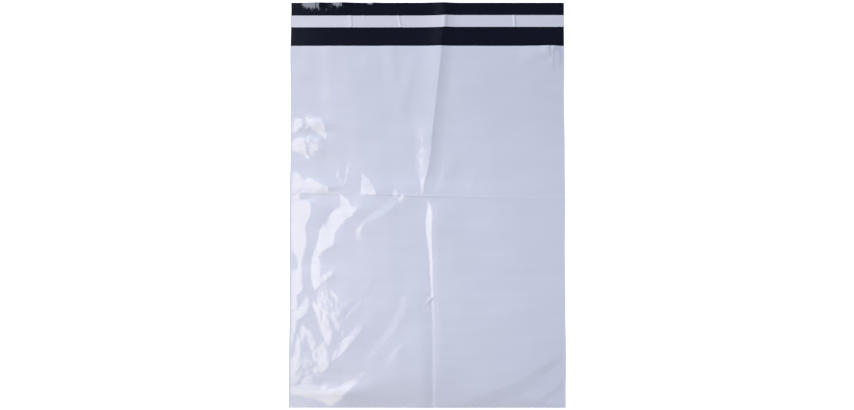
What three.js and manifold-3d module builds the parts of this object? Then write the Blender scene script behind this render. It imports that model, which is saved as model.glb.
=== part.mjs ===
// Poly mailer bag, empty and lying on its back with the flap open.
// One sheet of film is folded over at the bottom and welded along both sides. The back wall runs on
// past the mouth as the flap, which carries a band of glue under a peel-off liner.
// Millimetres, +Z up, +Y from the folded bottom towards the flap. The origin is under the middle of the bag.
import * as THREE from 'three';
import { mergeVertices } from 'three/addons/utils/BufferGeometryUtils.js';
import Module from 'manifold-3d';

// Driving dimensions of the bag
const WIDTH = 325;
const POCKET_DEPTH = 429;
const FLAP_LENGTH = 51;
const FILM = 0.06;
const SIDE_WELD = 2;

// Glue band and liner, measured along the flap from the mouth
const LINER_FROM_MOUTH = 22;
const LINER_WIDTH = 14;
const LINER_THICKNESS = 0.07;
const GLUE_WIDTH = 11;
const GLUE_THICKNESS = 0.04;
const SEAT_GAP = 0.02;

// How the slack front wall stands off the back wall
const WALL_GAP = 0.1;
const PUFF = 2.2;
const MOUTH_PUFF_SHARE = 0.2;
const SIDE_RISE = 30;
const BOTTOM_RISE = 24;
const MOUTH_RISE = 34;
const CREASE_RISE = 1 / 3; // share of the way in from an edge where a crease reaches its full height

// Places that follow from the sizes
const HALF_WIDTH = WIDTH / 2;
const BOTTOM = -(POCKET_DEPTH + FLAP_LENGTH) / 2;
const MOUTH = BOTTOM + POCKET_DEPTH;
const TOP = MOUTH + FLAP_LENGTH;
const WELD_LINE = HALF_WIDTH - SIDE_WELD;
const LINER_LOW = MOUTH + LINER_FROM_MOUTH;
const LINER_HIGH = LINER_LOW + LINER_WIDTH;
const GLUE_LOW = LINER_LOW + (LINER_WIDTH - GLUE_WIDTH) / 2;
const GLUE_HIGH = GLUE_LOW + GLUE_WIDTH;

// The bag was stored folded in four. The line of the upright fold, from the flap's edge down to the
// bottom, and the line of the level fold, from the left edge to the right.
const UPRIGHT_FOLD = [[21.4, TOP], [18.5, MOUTH], [12, 125], [4.5, 66], [0, 24], [-2, 10],
  [1.9, -1], [4.3, -53], [6.6, -100], [8.4, -130], [8.4, -165], [6.6, BOTTOM]];
const LEVEL_FOLD = [[-HALF_WIDTH, 14.5], [-100, 13.3], [-32, 10.9], [-2, 9.7], [50, 9.5], [HALF_WIDTH, 8]];

// Lines of the film's mesh: those beside the upright fold, counted from it, the first line clear of it
// on either hand, and the steps from there to the welds. Then the same for the rows, from the bottom up.
const FOLD_COLUMNS = [-17, -8, 0, 5, 11];
const LEFT_COLUMN = -26;
const RIGHT_COLUMN = 22;
const LEFT_STEPS = 13;
const RIGHT_STEPS = 9;
const LEVEL_FOLD_ROW = 10;
const FOLD_ROW_STEP = 10;
const BOTTOM_ROW_STEP = 4;
const LOWER_STEPS = 20;
const UPPER_STEPS = 12;
const CURL_ROW_STEP = 9;
const MERGED = 1e-3; // corners closer than this are one corner

// A crease is a crest with a film face falling away on either hand. Each point of the crest is
// [x, y, height, width of the left-hand face, width of the right-hand face], looking along the crest.
// Creases of both walls: the folds from storage and the curl along the flap's edge.
const SHARED_CREASES = [
  { // upright fold above the level fold, a ridge
    crest: [[21.4, TOP, 5, 12, 26], [18.5, MOUTH, 4.6, 12, 26], [12, 125, 4.2, 11, 23],
      [4.5, 66, 3.4, 8, 17], [0, 24, 2.6, 7, 11], [-2, 10, 1.8, 6, 8]],
  },
  { // swell to the left of the upright fold below, where it is a valley
    crest: [[-11, -2, 0, 16, 9], [-6, -53, 0.9, 20, 10], [-3, -130, 1.4, 24, 11],
      [-3, BOTTOM, 1.6, 24, 10]],
  },
  { // swell to its right, steep towards the valley
    crest: [[7, 2, 0, 26, 5], [9.6, -30, 1.7, 28, 5], [11, -100, 1.3, 30, 4.5], [13, -165, 1, 30, 4.5],
      [12, BOTTOM, 1.2, 28, 5]],
  },
  { // level fold, a ridge
    crest: [[-HALF_WIDTH, 14.5, 2.2, 11, 9], [-100, 13.3, 1.7, 10, 8], [-32, 10.9, 1.4, 9, 8],
      [-2, 9.7, 1.6, 8, 8], [50, 9.5, 1, 9, 9], [HALF_WIDTH, 8, 1.5, 9, 9]],
  },
  { // curl of the flap's cut edge on the left
    crest: [[-158, TOP, 0, 9, 10], [-135, TOP, 1.7, 9, 11], [-100, TOP, 1.3, 9, 10],
      [-62, TOP, 0, 9, 8]],
  },
];

// Creases of the slack front wall alone
const FRONT_CREASES = [
  { // crescent under the level fold on the left
    crest: [[-84, -6, 0.6, 16, 18], [-98, -18, 2.4, 16, 24], [-109, -35, 2.6, 18, 22],
      [-118, -56, 2.2, 20, 16], [-127, -75, 1.6, 18, 11], [-136, -98, 0, 14, 8]],
  },
  { // slanting ridge below the crescent
    crest: [[-140, -101, 0.4, 8, 12], [-120, -82, 1.8, 9, 12], [-102, -60, 0.5, 9, 14]],
  },
  { // slanting ridge in the lower left
    crest: [[-116, -183, 0.4, 12, 10], [-98, -165, 2, 13, 11], [-82, -147, 0.6, 14, 12]],
  },
  { // long low slanting ridge beside the upright fold
    crest: [[-66, -181, 0.2, 16, 12], [-42, -149, 0.9, 16, 13], [-22, -114, 0.2, 16, 12]],
  },
  { // bottom-left corner, turned up along the bottom fold
    crest: [[-HALF_WIDTH, -226, 0.8, 10, 22], [-114, -236, 2.4, 8, 20], [-100, -222, 2, 14, 16],
      [-82, -205, 0.3, 14, 12]],
  },
  { // crumpled left edge of the lower half
    crest: [[-150, -105, 0.3, 9, 9], [-146, -136, 1.9, 12, 12], [-142, -170, 1.6, 12, 13],
      [-137, -198, 0.3, 10, 10]],
  },
  { // left edge of the upper half
    crest: [[-150, 62, 0.3, 10, 10], [-134, 82, 1.7, 12, 14], [-146, 102, 0.3, 9, 10]],
  },
  { // long fold across the bottom-right corner
    crest: [[52, -232, 0.2, 30, 10], [108, -202, 1.3, 40, 11], [WELD_LINE, -168, 0.5, 30, 9]],
  },
];

// Colours and finishes
const PALE_FILM = { color: 0xcbd0e3, roughness: 0.3, metalness: 0 };
const LINER_PAPER = { color: 0xcfd1e2, roughness: 0.5, metalness: 0 };
const CLEAR_GLUE = { color: 0xb9b08c, roughness: 0.35, metalness: 0 };

const wasm = await Module();
wasm.setup();

/** Value of a line of [at, value] points at a place, straight between its points. */
function interpolate(points, at) {
  const ordered = [...points].sort((a, b) => a[0] - b[0]);
  const next = ordered.findIndex((point) => point[0] >= at);
  if (next === 0) return ordered[0][1];
  if (next < 0) return ordered.at(-1)[1];
  const [from, to] = [ordered[next - 1], ordered[next]];
  return THREE.MathUtils.mapLinear(at, from[0], to[0], from[1], to[1]);
}

/** Height that one crease gives the film at (x, y): that of the nearest stretch of its crest. */
function creaseHeight({ crest }, x, y) {
  let nearest = Infinity;
  let height = 0;
  for (let i = 1; i < crest.length; i++) {
    const [from, to] = [crest[i - 1], crest[i]];
    const [alongX, alongY] = [to[0] - from[0], to[1] - from[1]];
    const length = Math.hypot(alongX, alongY);
    const share = ((x - from[0]) * alongX + (y - from[1]) * alongY) / length ** 2;
    const t = THREE.MathUtils.clamp(share, 0, 1);
    const away = Math.hypot(x - from[0] - t * alongX, y - from[1] - t * alongY);
    if (away >= nearest) continue;
    nearest = away;
    const onTheLeft = alongX * (y - from[1]) - alongY * (x - from[0]) > 0;
    const between = from.map((start, k) => THREE.MathUtils.lerp(start, to[k], t));
    const [, , crestHeight, leftFace, rightFace] = between;
    height = crestHeight * Math.max(0, 1 - away / (onTheLeft ? leftFace : rightFace));
  }
  return height;
}

const totalHeight = (creases, x, y) => creases.reduce((sum, crease) => sum + creaseHeight(crease, x, y), 0);

/** Underside of the back wall and the flap. */
const backUnder = (x, y) => totalHeight(SHARED_CREASES, x, y);

/** Upper face of the back wall and the flap, the black inside of the film. */
const backUpper = (x, y) => backUnder(x, y) + FILM;

/** Gap between the walls: none to speak of at the welds and the bottom fold, and little at the mouth. */
function wallGap(x, y) {
  const fromWeld = THREE.MathUtils.smoothstep(WELD_LINE - Math.abs(x), 0, SIDE_RISE);
  const fromBottom = THREE.MathUtils.smoothstep(y - BOTTOM - FILM, 0, BOTTOM_RISE);
  const fromMouth = THREE.MathUtils.smoothstep(MOUTH - y, 0, MOUTH_RISE);
  const slack = THREE.MathUtils.lerp(MOUTH_PUFF_SHARE, 1, fromMouth);
  const free = Math.min(fromWeld, fromBottom);
  const creased = Math.min(1, free / CREASE_RISE) * totalHeight(FRONT_CREASES, x, y);
  return WALL_GAP + free * PUFF * slack + creased;
}

/** Underside and upper face of the front wall. */
const frontUnder = (x, y) => backUpper(x, y) + wallGap(x, y);
const frontUpper = (x, y) => frontUnder(x, y) + FILM;

/** Evenly spaced lines from one place to another, both included. */
function spread(from, to, steps) {
  return Array.from({ length: steps + 1 }, (_, i) => THREE.MathUtils.lerp(from, to, i / steps));
}

const COLUMNS = [-HALF_WIDTH, ...spread(-WELD_LINE, LEFT_COLUMN, LEFT_STEPS), ...FOLD_COLUMNS,
  ...spread(RIGHT_COLUMN, WELD_LINE, RIGHT_STEPS), HALF_WIDTH];
const LINER_ROWS = [LINER_LOW, GLUE_LOW, GLUE_HIGH, LINER_HIGH];
const POCKET_ROWS = [BOTTOM + FILM,
  ...spread(BOTTOM + BOTTOM_ROW_STEP, LEVEL_FOLD_ROW - FOLD_ROW_STEP, LOWER_STEPS), LEVEL_FOLD_ROW,
  ...spread(LEVEL_FOLD_ROW + FOLD_ROW_STEP, MOUTH, UPPER_STEPS)];
const FLAP_ROWS = [...LINER_ROWS, TOP - CURL_ROW_STEP, TOP];

/** Moves a crossing of the mesh lines so that the middle lines run along the two folds. */
function alongFolds(column, row) {
  const foldX = interpolate(UPRIGHT_FOLD.map(([x, y]) => [y, x]), row);
  const x = column + foldX * (1 - Math.abs(column) / HALF_WIDTH);
  const rise = interpolate(LEVEL_FOLD, x) - LEVEL_FOLD_ROW;
  const reach = row > LEVEL_FOLD_ROW ? MOUTH - LEVEL_FOLD_ROW : LEVEL_FOLD_ROW - BOTTOM;
  const y = row + rise * Math.max(0, 1 - Math.abs(row - LEVEL_FOLD_ROW) / reach);
  return [x, y];
}

/** Closed solid between two faces over the crossings of columns and rows, as a BufferGeometry. */
function layer(columns, rows, underAt, upperAt) {
  const grid = new THREE.PlaneGeometry(1, 1, columns.length - 1, rows.length - 1);
  const count = grid.attributes.position.count;
  const positions = new Float32Array(6 * count);
  [...rows].reverse().forEach((row, j) => columns.forEach((column, i) => {
    const at = j * columns.length + i;
    const [x, y] = alongFolds(column, row);
    positions.set([x, y, upperAt(x, y, row)], 3 * at);
    positions.set([x, y, underAt(x, y, row)], 3 * (count + at));
  }));
  const upper = [...grid.index.array];
  const under = upper.map((vertex) => vertex + count).reverse();
  const last = columns.length - 1;
  const rim = [
    ...columns.map((_, i) => (rows.length - 1) * columns.length + i),
    ...rows.slice(1).map((_, j) => (rows.length - 2 - j) * columns.length + last),
    ...columns.slice(1).map((_, i) => last - 1 - i),
    ...rows.slice(1).map((_, j) => (j + 1) * columns.length),
  ];
  const sides = rim.slice(1).flatMap((to, k) => {
    const from = rim[k];
    return [from, from + count, to + count, from, to + count, to];
  });
  return new THREE.BufferGeometry()
    .setAttribute('position', new THREE.BufferAttribute(positions, 3))
    .setIndex([...upper, ...under, ...sides]);
}

/** A closed geometry as a solid that can be cut. */
function solidOf(geometry) {
  const merged = mergeVertices(geometry, MERGED);
  return new wasm.Manifold(new wasm.Mesh({
    numProp: 3,
    vertProperties: merged.attributes.position.array,
    triVerts: new Uint32Array(merged.index.array),
  }));
}

/** A solid back as a geometry. */
function geometryOf(solid) {
  const { vertProperties, triVerts } = solid.getMesh();
  return new THREE.BufferGeometry()
    .setAttribute('position', new THREE.BufferAttribute(vertProperties, 3))
    .setIndex(new THREE.BufferAttribute(triVerts, 1));
}

/** The film: both walls and the flap as one body, with the pocket cut out of it through the mouth. */
function filmBag() {
  const lip = MOUTH + FILM;
  const outside = layer(
    COLUMNS,
    [BOTTOM, ...POCKET_ROWS, lip, ...FLAP_ROWS],
    backUnder,
    (x, y, row) => (row <= MOUTH ? frontUpper(x, y) : backUpper(x, y)),
  );
  const wayIn = lip + FILM;
  const pocket = layer(
    COLUMNS.slice(1, -1),
    [...POCKET_ROWS, wayIn],
    (x, y, row) => backUpper(x, y) + (row > MOUTH ? SEAT_GAP : 0),
    frontUnder,
  );
  return geometryOf(solidOf(outside).subtract(solidOf(pocket)));
}

/** A strip that follows the flap at a height above it. */
function flapStrip(rows, lift, thickness) {
  return layer(
    COLUMNS,
    rows,
    (x, y) => backUpper(x, y) + lift,
    (x, y) => backUpper(x, y) + lift + thickness,
  );
}

/** A named piece with its finish. */
function piece(name, geometry, finish) {
  geometry.computeVertexNormals();
  const mesh = new THREE.Mesh(geometry, new THREE.MeshStandardMaterial(finish));
  mesh.name = name;
  return mesh;
}

const LINER_LIFT = 2 * SEAT_GAP + GLUE_THICKNESS;
const mailerBag = new THREE.Group();
mailerBag.add(
  piece('film_bag', filmBag(), PALE_FILM),
  piece('adhesive_strip', flapStrip([GLUE_LOW, GLUE_HIGH], SEAT_GAP, GLUE_THICKNESS), CLEAR_GLUE),
  piece('release_liner', flapStrip(LINER_ROWS, LINER_LIFT, LINER_THICKNESS), LINER_PAPER),
);

export default mailerBag;
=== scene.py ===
"""Looks of an empty poly mailer bag that lies on its back with the flap open.

One sheet of film, pale outside and black inside, is folded over at the bottom and welded along both
sides. The back wall runs on past the mouth as the flap, which carries a glue band under a liner.
Shapes are worked out in millimetres in the part's own frame and stored in metres.
"""

from __future__ import annotations

import logging
from collections.abc import Callable
from dataclasses import dataclass
from enum import Enum
from functools import cached_property

import bmesh
import bpy
import numpy as np
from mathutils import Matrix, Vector

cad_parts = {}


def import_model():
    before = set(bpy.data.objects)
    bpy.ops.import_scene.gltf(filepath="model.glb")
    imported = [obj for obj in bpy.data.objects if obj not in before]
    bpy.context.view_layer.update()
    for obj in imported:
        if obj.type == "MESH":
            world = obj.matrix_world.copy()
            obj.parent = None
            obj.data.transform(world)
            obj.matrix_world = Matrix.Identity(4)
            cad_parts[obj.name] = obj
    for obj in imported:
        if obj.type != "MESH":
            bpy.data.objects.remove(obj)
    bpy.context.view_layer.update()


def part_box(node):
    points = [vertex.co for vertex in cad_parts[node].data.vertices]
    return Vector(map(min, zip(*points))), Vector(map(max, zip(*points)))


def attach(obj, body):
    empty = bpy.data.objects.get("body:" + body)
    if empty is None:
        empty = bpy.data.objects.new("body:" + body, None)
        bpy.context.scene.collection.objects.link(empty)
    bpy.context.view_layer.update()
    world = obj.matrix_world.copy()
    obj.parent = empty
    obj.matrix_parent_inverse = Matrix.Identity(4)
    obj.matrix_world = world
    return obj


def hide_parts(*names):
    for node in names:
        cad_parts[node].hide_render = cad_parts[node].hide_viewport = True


MM = 0.001
BODY = "root"
CRUSH_LAYER = "crush"
CUT_MAP = "cut"
CREASE_ANGLE = np.radians(1.3)
FLAP_LENGTH = 51.0
LOG = logging.getLogger("mailer_bag")

CrestPoint = tuple[float, float, float, float, float]
Colour = tuple[float, float, float, float]
Line = tuple[tuple[float, float], ...]
Rows = tuple[tuple[float, float, float], ...]
Stretches = tuple[tuple[float, float], ...]
Height = Callable[[np.ndarray, np.ndarray], np.ndarray]


class Node(Enum):
    """Solids of the bag that the pieces stand for."""

    FILM = "film_bag"
    GLUE = "adhesive_strip"
    LINER = "release_liner"


class Slot(Enum):
    """Material slots of the record."""

    FILM = "film"
    LINER = "liner"
    GLUE = "adhesive"


class Profile(Enum):
    """How a face of a crease falls from its crest to its foot."""

    FLAT = "one even slope, crisp at the crest and at the foot"
    HOLLOW = "steepest at the crest, easing out at the foot"
    ROUND = "rolled over at the crest, easing out at the foot"

    def fall(self, share: np.ndarray) -> np.ndarray:
        """Height left of a crest of 1 at a share of the way down its face.

        Args:
            share: Distance from the crest over the face's width.

        Returns:
            Heights from 1 at the crest to 0 at the foot.
        """
        left = np.clip(1 - share, 0, 1)
        if self is Profile.FLAT:
            return left
        if self is Profile.HOLLOW:
            return left**2
        return smooth(left)


@dataclass(frozen=True)
class Crease:
    """A crest of film with a face falling away on either hand.

    Each point of the crest is (x, y, height, width of the left-hand face, width of the right-hand face),
    looking along the crest, in millimetres.
    """

    name: str
    crest: tuple[CrestPoint, ...]
    profile: Profile = Profile.FLAT

    def heights(self, x: np.ndarray, y: np.ndarray) -> np.ndarray:
        """Height that the crease gives the film.

        Args:
            x: Places across the bag.
            y: Places along the bag.

        Returns:
            Heights, zero past the crease's faces.
        """
        height = np.zeros_like(x)
        for start, end in zip(self.crest, self.crest[1:]):
            step = np.subtract(end[:2], start[:2])
            length = float(np.hypot(*step))
            ahead, sideways = step / length, np.array((-step[1], step[0])) / length
            along = (x - start[0]) * ahead[0] + (y - start[1]) * ahead[1]
            offset = (x - start[0]) * sideways[0] + (y - start[1]) * sideways[1]
            beyond = np.maximum(0, np.maximum(-along, along - length))
            share = np.clip(along / length, 0, 1)
            crest, left, right = (low + (high - low) * share for low, high in zip(start[2:], end[2:]))
            face = np.where(offset > 0, left, right)
            away = np.hypot(offset / face, 2 * beyond / (left + right))
            height = np.maximum(height, crest * self.profile.fall(away))
        return height

    def middle(self) -> float:
        """Place across the bag of an upright crease."""
        return (self.crest[0][0] + self.crest[-1][0]) / 2


@dataclass(frozen=True)
class View:
    """The camera that looks down on the bag, in metres and degrees, and its picture in pixels."""

    distance: float = 1.25
    tilt: float = 2.2
    width: float = 1.0111
    aim: tuple[float, float] = (-0.0005, -0.0015)
    pixels: tuple[int, int] = (854, 410)
    film_height: float = 0.002

    @property
    def pixel(self) -> float:
        """Width of a pixel on the floor, in metres."""
        return self.width / self.pixels[0]

    def place(self, column: np.ndarray, row: np.ndarray) -> tuple[np.ndarray, np.ndarray]:
        """Place on the film that a pixel shows.

        Args:
            column: Pixels from the picture's left edge.
            row: Pixels from its top edge.

        Returns:
            Places x and y in millimetres.
        """
        tilt = np.radians(self.tilt)
        right = (np.asarray(column) - self.pixels[0] / 2) * self.pixel
        up = (self.pixels[1] / 2 - np.asarray(row)) * self.pixel
        drop = self.distance * np.cos(tilt)
        share = (drop - self.film_height) / (drop - up * np.sin(tilt))
        ahead = self.distance * np.sin(tilt)
        x = self.aim[0] + share * right
        y = self.aim[1] - ahead + share * (ahead + up * np.cos(tilt))
        return x / MM, y / MM

    def edges(self, rows: Rows) -> tuple[np.ndarray, np.ndarray, np.ndarray]:
        """Edges of a flat on the film.

        Args:
            rows: Row, left edge and right edge in pixels, from the top down.

        Returns:
            Lines along the bag from the bottom up, and the left and right edges on them, in millimetres.
        """
        row, left, right = np.array(rows[::-1]).T
        start, along = self.place(left, row)
        end, _ = self.place(right, row)
        return along, start, end

    def build(self) -> None:
        """Builds the camera and looks through it."""
        data = bpy.data.cameras.new("camera")
        data.sensor_fit = "HORIZONTAL"
        data.lens = data.sensor_width * self.distance / self.width
        tilt = np.radians(self.tilt)
        camera = bpy.data.objects.new("camera", data)
        back = Vector((0, -np.sin(tilt), np.cos(tilt)))
        camera.location = Vector((*self.aim, 0)) + self.distance * back
        camera.rotation_euler = (tilt, 0, 0)
        bpy.context.scene.collection.objects.link(camera)
        bpy.context.scene.camera = camera


VIEW = View()


@dataclass(frozen=True)
class Facet:
    """A flat of film that rises from its left edge to a crest along its right edge, then falls away.

    Each row is (row, left edge, right edge) in the picture's pixels, from the top down. The slope, the
    fall and the foot, over which the slope grows, are one for the whole flat or one for each row. The fall
    and the foot are in pixels.
    """

    name: str
    rows: Rows
    slope: float | tuple[float, ...]
    fall: float | tuple[float, ...]
    profile: Profile = Profile.FLAT
    foot: float | tuple[float, ...] = 0

    BLUNT = 1.2  # length over which either end runs out
    LEAST_FOOT = 0.001  # so that no foot is nothing

    def heights(self, x: np.ndarray, y: np.ndarray) -> np.ndarray:
        """Height that the flat gives the film.

        Args:
            x: Places across the bag.
            y: Places along the bag.

        Returns:
            Heights, zero past the flat and its fall.
        """
        along, left, right = VIEW.edges(self.rows)
        pixel = VIEW.pixel / MM
        slopes, falls, feet = (
            np.broadcast_to(value, len(along))[::-1] for value in (self.slope, self.fall, self.foot)
        )
        start, end, slope, fall, foot = (
            np.interp(y, along, value) for value in (left, right, slopes, falls * pixel, feet * pixel)
        )
        ends = np.clip(np.minimum(y - along[0], along[-1] - y) / self.BLUNT, 0, 1)
        foot = np.minimum(foot + self.LEAST_FOOT, end - start + self.LEAST_FOOT)
        ahead = np.clip(x - start, 0, end - start)
        rise = slope * np.where(ahead < foot, ahead**2 / (2 * foot), ahead - foot / 2)
        return ends * rise * self.profile.fall(np.maximum(0, x - end) / fall)


@dataclass(frozen=True)
class Flat:
    """A flat of slack film that leans to the left far enough to catch the key lamp.

    Each row is (row, left edge, right edge) in the picture's pixels, from the top down. The lean is how much
    steeper the flat is than the slope that just catches the lamp.
    """

    name: str
    rows: Rows
    lean: float = 0.035

    def cover(self, x: np.ndarray, y: np.ndarray) -> np.ndarray:
        """Whether each place lies on the flat.

        Args:
            x: Places across the bag.
            y: Places along the bag.

        Returns:
            True on the flat.
        """
        along, left, right = VIEW.edges(self.rows)
        across = (x >= np.interp(y, along, left)) & (x <= np.interp(y, along, right))
        return across & (y >= along[0]) & (y <= along[-1])


@dataclass(frozen=True)
class HeightGrid:
    """Heights on an even grid, read between its points, in millimetres."""

    corner: tuple[float, float]
    spacing: float
    values: np.ndarray

    def heights(self, x: np.ndarray, y: np.ndarray) -> np.ndarray:
        """Height at each place.

        Args:
            x: Places across the bag.
            y: Places along the bag.

        Returns:
            Heights between those of the four grid points around each place.
        """
        rows, columns = self.values.shape
        u = np.clip((x - self.corner[0]) / self.spacing, 0, columns - 1)
        v = np.clip((y - self.corner[1]) / self.spacing, 0, rows - 1)
        i = np.minimum(u.astype(int), columns - 2)
        j = np.minimum(v.astype(int), rows - 2)
        u, v = u - i, v - j
        low = self.values[j, i] * (1 - u) + self.values[j, i + 1] * u
        high = self.values[j + 1, i] * (1 - u) + self.values[j + 1, i + 1] * u
        return low * (1 - v) + high * v


@dataclass(frozen=True)
class SlackFilm:
    """Slack film, held down along its edges, that settles into the slopes of its flats, in millimetres.

    The slope that just catches the key lamp grows from left to right. Between the flats the film stays
    below it and falls only gently. Where it falls short of these slopes, it pulls harder in each round.
    """

    half_width: float
    bottom: float
    top: float
    spacing: float = 1.0
    rounds: int = 60
    hold: float = 2.0
    memory: float = 0.9
    catch: float = 0.033
    catch_growth: float = 0.00086
    calm: float = 0.03
    fall: float = 0.05
    steepest: float = 0.3

    def settle(
        self, start: Height, flats: tuple[Flat, ...], ragged: tuple[Crumple, Crumple]
    ) -> HeightGrid:
        """Lets the film settle.

        Args:
            start: Heights that the film starts from.
            flats: Flats that it settles into. Where two overlap, the later one counts.
            ragged: How far the edges of the flats stray across and along the bag.

        Returns:
            The settled heights, zero along the edges.
        """
        step = self.spacing
        columns = np.arange(-self.half_width, self.half_width + step / 2, step)[1:-1]
        rows = np.arange(self.bottom, self.top + step / 2, step)[1:-1]
        height = start(*np.meshgrid(columns, rows))
        x, y = np.meshgrid(np.append(columns[0] - step, columns) + step / 2, rows)
        catch = self.catch + self.catch_growth * (x + self.half_width)
        aimed = np.full(x.shape, np.nan)
        stray = [place + crumple.heights(x, y) for place, crumple in zip((x, y), ragged)]
        for flat in flats:
            aimed = np.where(flat.cover(*stray), catch + flat.lean, aimed)
        pull, lift = 0.0, 0.0
        for _ in range(self.rounds):
            held = np.pad(height, 1)
            across = np.diff(held, axis=1)[1:-1] / step + pull
            along = np.diff(held, axis=0)[:, 1:-1] / step + lift
            calm = np.clip(across, -self.fall, catch - self.calm)
            wanted = np.where(np.isnan(aimed), calm, aimed)
            even = np.clip(along, -self.steepest, self.steepest)
            pull, lift = self.memory * (across - wanted), self.memory * (along - even)
            height = np.maximum(0, self.closest(wanted - pull, even - lift))
        return HeightGrid((-self.half_width, self.bottom), step, np.pad(height, 1))

    def closest(self, across: np.ndarray, along: np.ndarray) -> np.ndarray:
        """Heights whose slopes come closest to the wanted ones, made of sine waves that end at the edges.

        Args:
            across: Slopes wanted between the columns.
            along: Slopes wanted between the rows.

        Returns:
            Heights at the grid points inside the edges.
        """
        bend = (self.hold * np.diff(across, axis=1) + np.diff(along, axis=0)) * self.spacing
        rows, columns = bend.shape
        mirrored = np.zeros((2 * rows + 2, 2 * columns + 2))
        mirrored[1 : rows + 1, 1 : columns + 1] = bend
        mirrored[rows + 2 :, 1 : columns + 1] = -bend[::-1]
        mirrored[:, columns + 2 :] = -mirrored[:, columns:0:-1]
        up = 2 * np.cos(2 * np.pi * np.fft.fftfreq(2 * rows + 2)) - 2
        side = 2 * np.cos(2 * np.pi * np.fft.rfftfreq(2 * columns + 2)) - 2
        stiffness = up[:, None] + self.hold * side[None]
        stiffness[0, 0] = 1
        waves = np.fft.rfft2(mirrored) / stiffness
        return np.fft.irfft2(waves, s=mirrored.shape)[1 : rows + 1, 1 : columns + 1]


@dataclass(frozen=True)
class Crumple:
    """A patch of film crushed into small flat facets, in millimetres and degrees."""

    name: str
    centre: tuple[float, float]
    reach: tuple[float, float]
    facet: tuple[float, float]
    height: float
    turn: float
    seed: int
    grain: float = 1.0

    LATTICE = 64  # facets along each side before they repeat
    RIM = 0.5  # share of the reach over which the crush fades
    BEND = 0.35  # how far the rows of facets weave, as a share of a facet's width
    BEND_RATE = 2.1  # how quickly they weave

    def fade(self, x: np.ndarray, y: np.ndarray) -> np.ndarray:
        """Share of the crush at each place, from 1 inside to 0 at the rim of the patch.

        Args:
            x: Places across the bag.
            y: Places along the bag.

        Returns:
            The shares.
        """
        away = np.hypot((x - self.centre[0]) / self.reach[0], (y - self.centre[1]) / self.reach[1])
        return np.clip((1 - away) / self.RIM, 0, 1)

    def turned(self, x: np.ndarray, y: np.ndarray) -> tuple[np.ndarray, np.ndarray]:
        """Places from the centre, along and across the way that the facets run.

        Args:
            x: Places across the bag.
            y: Places along the bag.

        Returns:
            Places along the facets and across them.
        """
        angle = np.radians(self.turn)
        dx, dy = x - self.centre[0], y - self.centre[1]
        return dx * np.cos(angle) + dy * np.sin(angle), dy * np.cos(angle) - dx * np.sin(angle)

    def heights(self, x: np.ndarray, y: np.ndarray) -> np.ndarray:
        """Height of the facets, which fade out at the rim of the patch.

        Args:
            x: Places across the bag.
            y: Places along the bag.

        Returns:
            Heights on both sides of zero.
        """
        along, across = self.turned(x, y)
        corners = np.random.default_rng(self.seed).uniform(-1, 1, (self.LATTICE, self.LATTICE))
        bent = across + self.BEND * self.facet[1] * np.sin(self.BEND_RATE * along / self.facet[0])
        u = along / self.facet[0] + self.LATTICE / 2
        v = bent / self.facet[1] + self.LATTICE / 2
        i, j = np.floor(u).astype(int), np.floor(v).astype(int)
        fu, fv = u - i, v - j

        def corner(di: int, dj: int) -> np.ndarray:
            """Heights of the lattice corners beside each place."""
            return corners[(i + di) % self.LATTICE, (j + dj) % self.LATTICE]

        near, ahead, beside, far = corner(0, 0), corner(1, 0), corner(0, 1), corner(1, 1)
        lower = near + fu * (ahead - near) + fv * (beside - near)
        upper = far + (1 - fu) * (beside - far) + (1 - fv) * (ahead - far)
        facets = np.where(fu + fv < 1, lower, upper)
        return self.height * facets * self.fade(x, y)


@dataclass(frozen=True)
class Swell:
    """One long low wave of slack film: length in millimetres, direction in degrees, phase in turns."""

    height: float
    length: float
    direction: float
    phase: float

    def heights(self, x: np.ndarray, y: np.ndarray) -> np.ndarray:
        """Height of the wave.

        Args:
            x: Places across the bag.
            y: Places along the bag.

        Returns:
            Heights on both sides of zero.
        """
        angle = np.radians(self.direction)
        along = x * np.cos(angle) + y * np.sin(angle)
        return self.height * np.sin(2 * np.pi * (along / self.length + self.phase))


# Line of the upright fold from the flap's edge down to the bottom, and of the level fold from the left
UPRIGHT_FOLD: Line = (
    (21.4, 240), (18.5, 189), (12, 125), (4.5, 66), (0, 24), (-2, 10),
    (1.9, -1), (4.3, -53), (6.6, -100), (8.4, -130), (8.4, -165), (6.6, -240),
)  # fmt: skip
LEVEL_FOLD: Line = (
    (-162.5, 13.2), (-100, 12.1), (-32, 10), (-2, 8.9), (50, 8.2), (162.5, 5.8),
)  # fmt: skip

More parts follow.
